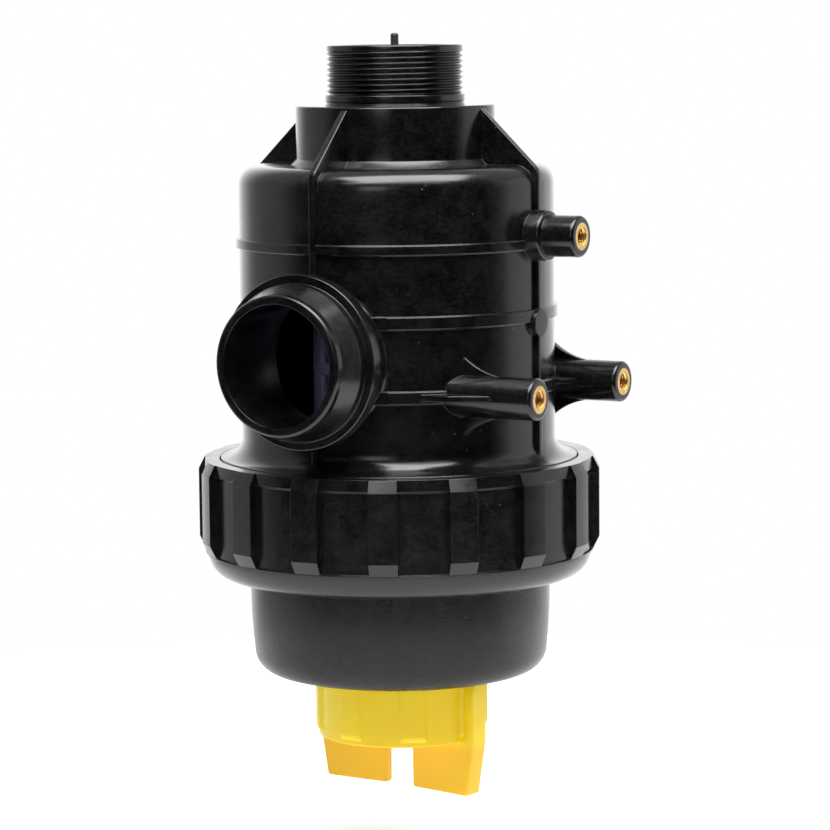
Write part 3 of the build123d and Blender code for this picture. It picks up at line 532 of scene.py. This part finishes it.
THREAD_KINDS = ("Root", "Depth", "Wall", "Pitch", "Top", "Length", "Phase", "Fade")
thread_tree, entry, size = grouped(
    "screw_thread",
    {**{label: "Float" for label in THREAD_KINDS}, "Rows": "Int", "Steps": "Int", "Finish": "Material"},
)
rows = size["Rows"]
grid = entry.node(
    "GeometryNodeMeshGrid",
    {},
    {"Size X": 1.0, "Size Y": 1.0, "Vertices X": size["Steps"] + 1, "Vertices Y": rows},
)
place = entry.node("ShaderNodeSeparateXYZ", {}, {0: entry.node("GeometryNodeInputPosition")})
around = (place + 0.5) * (2 * pi)
row = (place.part(1) + 0.5) * (rows - 1)
along = ((row - 1) / (rows - 4)).math("MAXIMUM", 0.0).math("MINIMUM", 1.0)
last = row.math("GREATER_THAN", rows - 1.5)
inner = row.math("LESS_THAN", 0.5).math("MAXIMUM", row.math("GREATER_THAN", rows - 2.5))
drop = along * size["Length"]
height = size["Top"] - drop * (1 - last)
helix = (height / size["Pitch"] - around / (2 * pi) + size["Phase"]).math("FRACT")
flank = (helix * 2 - 1).math("ABSOLUTE")
crest = flank.ease(0.08, 0.92)
fade = (drop / size["Fade"]).ease(0.0, 1.0) * ((size["Length"] - drop) / size["Fade"]).ease(0.0, 1.0)
threaded = size["Root"] + crest * fade * size["Depth"]
radius = threaded * (1 - inner) + (size["Root"] + size["Wall"]) * inner
spot = entry.node(
    "ShaderNodeCombineXYZ",
    {},
    {"X": radius * around.math("COSINE"), "Y": radius * around.math("SINE"), "Z": height},
)
moved = grid.node("GeometryNodeSetPosition", {}, {"Geometry": grid, "Position": spot})
closed_off(moved, size["Finish"])


def thread(name, root, depth, wall, pitch, top, length, phase=0.0, fade=1.0, steps=192, finish=None):
    """A closed threaded sleeve. A negative depth points inwards; wall is signed too."""
    return grown(
        name,
        thread_tree,
        Root=root * MM,
        Depth=depth * MM,
        Wall=wall * MM,
        Pitch=pitch * MM,
        Top=top * MM,
        Length=length * MM,
        Phase=phase,
        Fade=fade * MM,
        Rows=4 + ceil(14 * length / pitch),
        Steps=steps,
        Finish=finish,
    )


NUT_LEAD = 6.0
inlet_thread = thread("inlet_thread", 28.75, 1.25, -1.2, 2.309, -1.6, 19.9, phase=0.2, fade=1.0)
skirt_thread = thread("skirt_thread", 75.98, 1.3, -1.5, NUT_LEAD, -185.5, 34.5, fade=3.0, steps=240)
combined(housing, [inlet_thread, skirt_thread])
housing.data.materials.clear()
housing.data.materials.append(housing_black)
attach(housing, "housing")
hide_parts("housing")

# Threaded inserts: three turned brass bushes, moulded flush into the bosses.
# Each has an M8 thread, cut as one helix.
brass, start, point = material("insert_brass")
worn = noise(start, point, 2.0, 4.0)
bump = grained(start, noise(start, point, 0.25), 0.01, 0.6)
tone = worn.ease(0.3, 0.75).blend((0.86, 0.60, 0.22, 1), (0.62, 0.38, 0.12, 1))
finished(start, Base_Color=tone, Metallic=1.0, Roughness=0.22 + worn * 0.25, Normal=bump)
insert_parts = []
for y, z in BOSSES:
    bush = thread("bush", 4.05, -0.65, 1.85, 1.25, BOSS_FACE, 15.0, fade=1.2, steps=64, finish=brass)
    insert_parts.append(placed(bush, move(0, y, z) @ LYING))
inserts = combined(insert_parts[0], insert_parts[1:])
inserts.name = "brass_inserts"
inserts.data.materials.clear()
inserts.data.materials.append(brass)
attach(inserts, "housing")
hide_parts("threaded_inserts")

# Valve: a guide and a seat of black plastic sit in the housing, and the stem runs through the guide.
# The stem carries a disc with a rubber washer, held by a steel plate and nut. A coil spring shuts it.
valve_black = moulded("valve_black", (0.016, 0.016, 0.017), 0.4, 0.006, 0.5, scuffs=0.3, cloud=0.3)
steel, start, point = material("stainless_steel")
lines = noise(start, point, 0.3, squeeze=0.05)
tone = noise(start, point, 4.0).blend((0.56, 0.56, 0.57, 1), (0.66, 0.66, 0.66, 1))
bump = grained(start, lines, 0.01, 0.5)
finished(start, Base_Color=tone, Metallic=1.0, Roughness=0.2 + lines * 0.25, Normal=bump)
rubber, start, point = material("black_rubber")
bloom = noise(start, point, 1.5, 4.0)
tone = bloom.blend((0.010, 0.010, 0.010, 1), (0.022, 0.022, 0.022, 1))
bump = grained(start, bloom, 0.02, 0.7)
finished(start, Base_Color=tone, Roughness=0.55 + bloom * 0.2, Normal=bump)


def dressed(finish, *names):
    """Gives CAD nodes that stay as they are a material."""
    for name in names:
        slots = nodes[name].material_slots
        if not slots:
            nodes[name].data.materials.append(finish)
        for slot in slots:
            slot.material = finish


dressed(valve_black, "valve_guide", "valve_seat", "valve_disc")
dressed(rubber, "valve_washer", "seat_o_ring")
dressed(steel, "washer_retainer", "stem_nut", "valve_spring")
stem_outline = [
    (0, 5.1, 0),
    (1.75, 5.1, 1.0),
    (1.75, -7.9, 0.4),
    (4.0, -7.9, 0.8),
    (4.0, -43.0, 0),
    (3.0, -43.0, 0),
    (3.0, -57.5, 0.6),
    (0, -57.5, 0),
]
stem = turned("valve_stem_pin", rounded(stem_outline, False), 48)
stem.data.materials.append(valve_black)
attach(stem, "valve")
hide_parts("valve_stem")

# Bowl: a deep black cup that closes the body from below, dull with fine grain and slightly tapered.
# Its spigot carries a rubber ring, the nut holds its flange, and a hub in its floor takes the knob's neck.
bowl_black = moulded("bowl_black", (0.006, 0.006, 0.0062), 0.29, 0.014, 0.6, gloss=1.4)
bowl_outline = [
    (62.4, -203.3, 0.6),
    (69.6, -203.3, 0.8),
    (69.6, -210.2, 0.2),
    (65.7, -210.2, 0.3),
    (65.7, -214.4, 0.3),
    (69.6, -214.4, 0.2),
    (69.6, -221.3, 0.4),
    (77.0, -221.3, 0.6),
    (77.0, -229.3, 0.6),
    (66.4, -229.3, 0.5),
    (66.4, -247.9, 200),
    (64.2, -275.9, 9.8),
    (20.0, -275.9, 1.0),
    (20.0, -280.9, 0.6),
    (14.0, -280.9, 0.5),
    (14.0, -252.0, 0.5),
    (19.0, -252.0, 0.6),
    (19.0, -271.4, 1.0),
    (28.5, -271.4, 1.0),
    (28.5, -260.5, 0.5),
    (33.0, -260.5, 0.5),
    (33.0, -271.4, 1.0),
    (60.8, -271.4, 6.0),
    (62.4, -249.9, 0),
]
bowl = turned("bowl_cup", divided(rounded(bowl_outline), 6), 216)
bowl.data.materials.append(bowl_black)
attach(bowl, "bowl")
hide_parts("bowl")
dressed(rubber, "bowl_o_ring", "post_o_ring")

# Ring nut: a black ring with sixteen grip lugs that draws the bowl up against the housing.
# It is moulded, its lugs have flat sloping ends, and a coarse thread runs inside.
nut_black = moulded("nut_black", (0.0045, 0.0045, 0.0049), 0.22, 0.006, 0.45)
SPREAD_KINDS = {"Count": "Int", "Start": "Float", "Finish": "Material"}
array_tree, entry, size = grouped("round_the_axis", SPREAD_KINDS)
count = size["Count"]
line = entry.node("GeometryNodeMeshLine", {}, {"Count": count, "Offset": (0.0, 0.0, 0.0)})
step = entry.node("GeometryNodeInputIndex")
angle = entry.node("ShaderNodeCombineXYZ", {}, {"Z": step * (2 * pi) / count + size["Start"]})
spread = {"Points": line, "Instance": entry, "Rotation": angle}
copies = line.node("GeometryNodeInstanceOnPoints", {}, spread)
closed_off(copies, size["Finish"])

LUGS, LUG_ANGLE, LUG_TURN = 16, 8.0, 3.1
# The lugs and the pockets between them, as (radius, height) rows that share the ring's inside
LUG_ROWS = [(86.2, -180.4), (88.9, -185.7), (88.9, -215.9), (86.2, -221.2), (86.2, -221.5), (86.2, -221.8)]
POCKET_ROWS = [(85.7, -180.4), (86.1, -185.4), (85.1, -186.1)]
POCKET_ROWS += [(85.1, -220.9), (86.2, -221.3), (86.2, -221.8)]
NUT_ROUND, ROUND_R, ROUND_TOP = 11.0, 74.1, -221.8
ring_rows = [(ROUND_R + NUT_ROUND * c, ROUND_TOP - NUT_ROUND * s) for c, s in map(unit, arc(0, 90, 9))]
ring_rows += [(67.5, -232.8), (66.9, -232.2), (66.9, -229.5), (77.6, -229.5)]
ring_rows += [(77.6, -224), (77.6, -186.5), (79.3, -185.9), (79.3, -180.9), (79.8, -180.4)]
sector = 360 / LUGS
columns = [(LUG_ANGLE * (k / 4 - 0.5), LUG_ROWS) for k in range(5)]
columns += [(LUG_ANGLE / 2 + (sector - LUG_ANGLE) * k / 7, POCKET_ROWS) for k in range(8)]
columns.append((sector - LUG_ANGLE / 2, LUG_ROWS))
verts = []
for angle, outer_rows in columns:
    c, s = unit(angle)
    verts += [(r * c, r * s, z) for r, z in outer_rows + ring_rows]
count = len(LUG_ROWS) + len(ring_rows)
faces = [(a, d, c, b) for a, b, c, d in ring_faces(len(columns), count, False)]
one_lug = piece("one_lug", verts, faces)
nut = grown("ring_nut_shell", array_tree, one_lug, Count=LUGS, Start=radians(LUG_TURN), Finish=nut_black)
softened(nut, 0.4, 2)
nut_thread = thread("nut_thread", 77.58, -1.1, 1.0, NUT_LEAD, -187.5, 31.0, phase=0.5, fade=3.0, steps=240)
combined(nut, [nut_thread])
nut.data.materials.clear()
nut.data.materials.append(nut_black)
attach(nut, "ring_nut")
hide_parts("ring_nut")

# Knob: a yellow cup with eight low grips and two wings, which screws the valve open or shut.
# It is moulded in one piece with its neck, semi-gloss, and a rubber ring seals the neck in the hub.
yellow, start, point = material("knob_yellow")
KNOB_TURN = -7.0
KNOB_R, KNOB_TOP, KNOB_END, WING_END = 37.0, -278.5, -305.2, -329.3
fine = noise(start, point, 0.5, 4.0)
patch = noise(start, point, 8.0, 4.0)
broad = noise(start, point, 30.0, 2.0)
height = start.node("ShaderNodeSeparateXYZ", {}, {0: point}).part(2)
# Painted shade: below the cup's foot the yellow turns more orange towards the wings' bottom, standing in
# for the shade under the bowl and cup
painted_shade_low = height.ease((KNOB_END + 3) * MM, (KNOB_END - 6) * MM)
tone = broad.ease(0.3, 0.7).blend((0.97, 0.68, 0.008, 1), (0.99, 0.74, 0.014, 1))
tone = painted_shade_low.blend(tone, (0.94, 0.55, 0.006, 1))
bump = grained(start, fine, 0.006, Normal=rounding(start, 0.5))
finished(start, Base_Color=tone, Roughness=0.36 + (patch - 0.5) * 0.15, Normal=bump, IOR=1.4)

cup_outline = [
    (9.0, KNOB_END, 0.5),
    (9.0, -297.0, 0.5),
    (5.1, -297.0, 0.3),
    (5.1, -250.2, 0.4),
    (13.9, -250.2, 0.8),
    (13.9, -301.2, 1.5),
    (33.5, -301.2, 1.5),
    (33.5, KNOB_TOP, 0.5),
]
cup_inside = rounded([(9.0, KNOB_END, 0), *cup_outline[1:], (KNOB_R, KNOB_TOP, 0)], False)[:-1]
cup_outside = [(33.5, KNOB_TOP, 0), (KNOB_R, KNOB_TOP, 0.6), (KNOB_R, KNOB_END, 0.9), (9, KNOB_END, 0)]
cup_points = cup_inside + divided(rounded(cup_outside, False)[1:-1], 0.7, False)


def grip(angle, r, z):
    """Eight low pads around the cup, rounded at their sides and lower ends."""
    if r < KNOB_R - 0.7:
        return r
    off = abs((angle / (2 * pi) * 8 - KNOB_TURN / 45 + 0.5) % 1 - 0.5) * 45
    side = max(0.0, min(1.0, (10.0 - off) / 2.6))
    foot = max(0.0, min(1.0, (z - KNOB_END - 2.6) / 2.4))
    side = side * side * (3 - 2 * side)
    return r + 1.3 * side * sqrt(1 - (1 - foot) ** 2)


knob = turned("knob_cup", cup_points, 720, grip)
wing_plan = [(7.2, -2.6), (43.0, -5.2), (43.0, 5.2), (7.2, 2.6)]
wing_foot = [(7.4, -2.5), (39.0, -4.9), (39.0, 4.9), (7.4, 2.5)]
levels = [(WING_END, wing_foot), (KNOB_END, wing_plan), (-284.0, wing_plan)]
verts = [(x, y, z) for z, plan in levels for x, y in plan]
faces = [(0, 1, 2, 3), (8, 9, 10, 11)] + ring_faces(len(levels), 4, False)
wing = softened(piece("wing", verts, faces), 1.1, 4)
# Above the grips each wing runs on beside the cup, up to its rim
ear_plan = [(35.0, -4.64), (43.0, -5.2), (43.0, 5.2), (35.0, 4.64)]
ear = softened(placed(extruded("ear", ear_plan, 12.0), move(0, 0, KNOB_TOP - 6.6)), 0.8, 4)
combined(knob, [copied(made, turn(KNOB_TURN + side)) for side in (0, 180) for made in (wing, ear)])
for made in (wing, ear):
    bpy.data.objects.remove(made)
knob.data.materials.clear()
knob.data.materials.append(yellow)
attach(knob, "knob")
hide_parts("valve_knob")
dressed(rubber, "knob_o_ring")

# Push rod: a drawn stainless bar that the knob carries up and down, held below by a spring clip.
dressed(steel, "push_rod", "rod_clip")

# Cartridge: a cage of blue-violet plastic around a tube of woven stainless wire.
# Its top ring plugs up into the housing's sleeve, and its bottom ring sits over the post in the bowl.
violet = moulded("cartridge_violet", (0.55, 0.56, 0.95), 0.4, 0.006, 0.5, scuffs=0.3, cloud=0.05)
dressed(violet, "cartridge_top_ring", "cartridge_cage", "cartridge_bottom_ring")
dressed(steel, "filter_mesh")
dressed(rubber, "cartridge_top_o_ring")

# Floor: a round pale table, a little below the filter, which hangs by its inlet.
# The camera sees it a little brighter than it is, so that only a faint shadow stays on it.
FLOOR_Z, TABLE_R = -372.0, 600.0
SEEN_GLOW, MIRRORED_GLOW = 0.45, 0.1
pale, start, point = material("pale_table")
path = start.node("ShaderNodeLightPath")
shiny = path.part("Is Glossy Ray").math("MAXIMUM", path.part("Is Transmission Ray"))
grey = noise(start, point, 60.0).blend((0.86, 0.86, 0.86, 1), (0.88, 0.88, 0.88, 1))
matt = start.node("ShaderNodeBsdfDiffuse", {}, {"Color": grey})
lift = path * SEEN_GLOW + shiny * MIRRORED_GLOW
glow = start.node("ShaderNodeEmission", {}, {"Color": (1, 1, 1, 1), "Strength": lift})
lifted = start.node("ShaderNodeAddShader", {}, {0: matt, 1: glow})
start.node("ShaderNodeOutputMaterial", {}, {"Surface": lifted})
table = [(TABLE_R * c, TABLE_R * s, FLOOR_Z) for c, s in map(unit, range(0, 360, 3))]
floor = piece("floor", table, [tuple(range(len(table)))])
floor.data.materials.append(pale)

# Light: a white sweep behind, grey walls beside it and a dark room behind the camera.
# A long softbox and a weaker strip hang over the camera's side of the table, a pale panel stands on the
# right, and a weak lamp beside the camera looks into the outlet.
DARK_LIGHT, WALL_LIGHT, SWEEP_LIGHT, MIDDLE_LIGHT = 0.02, 0.52, 1.3, 0.5
studio = bpy.data.worlds.new("studio")
bpy.context.scene.world = studio
studio.use_nodes = True
studio.node_tree.nodes.clear()
start = Link(studio.node_tree)
path = start.node("ShaderNodeLightPath")
away = start.node("ShaderNodeTexCoord")
toward_camera = Vector((sin(CAMERA_TURN), -cos(CAMERA_TURN), 0.0))
ahead = start.node("ShaderNodeVectorMath", {"operation": "DOT_PRODUCT"}, {0: away, 1: toward_camera}, out=1)
walls = ahead.ease(0.35, -0.05) * WALL_LIGHT
sweep = ahead.ease(-0.62, -0.85)
room = DARK_LIGHT + walls + sweep * (SWEEP_LIGHT - walls) + ahead.ease(-0.82, -0.97) * MIDDLE_LIGHT
seen = path.part("Is Camera Ray").math("MAXIMUM", path.part("Is Transmission Ray"))
level = room + seen * (1 - room)
backdrop = start.node("ShaderNodeBackground", {}, {"Color": (1, 1, 1, 1), "Strength": level})
start.node("ShaderNodeOutputWorld", {}, {"Surface": backdrop})


def lamp(name, spot, aim, width, depth, power):
    """A soft rectangular lamp, in millimetres and watts."""
    light = bpy.data.lights.new(name, "AREA")
    light.shape = "RECTANGLE"
    light.size = width * MM
    light.size_y = depth * MM
    light.energy = power
    made = bpy.data.objects.new(name, light)
    direction = Vector(aim) - Vector(spot)
    made.matrix_world = move(*(Vector(spot) * MM)) @ direction.to_track_quat("-Z", "Y").to_matrix().to_4x4()
    bpy.context.scene.collection.objects.link(made)


lamp("overhead", (269, -288, 907), (0, 0, -120), 1240, 740, 31)
lamp("front_strip", (410, -710, 727), (0, 0, -150), 1400, 200, 3.2)
lamp("right_panel", (256, 356, -130), (-90, 156, -130), 500, 480, 0.32)
lamp("camera_light", (320, -1260, 240), (0, -60, -132), 400, 400, 1.0)
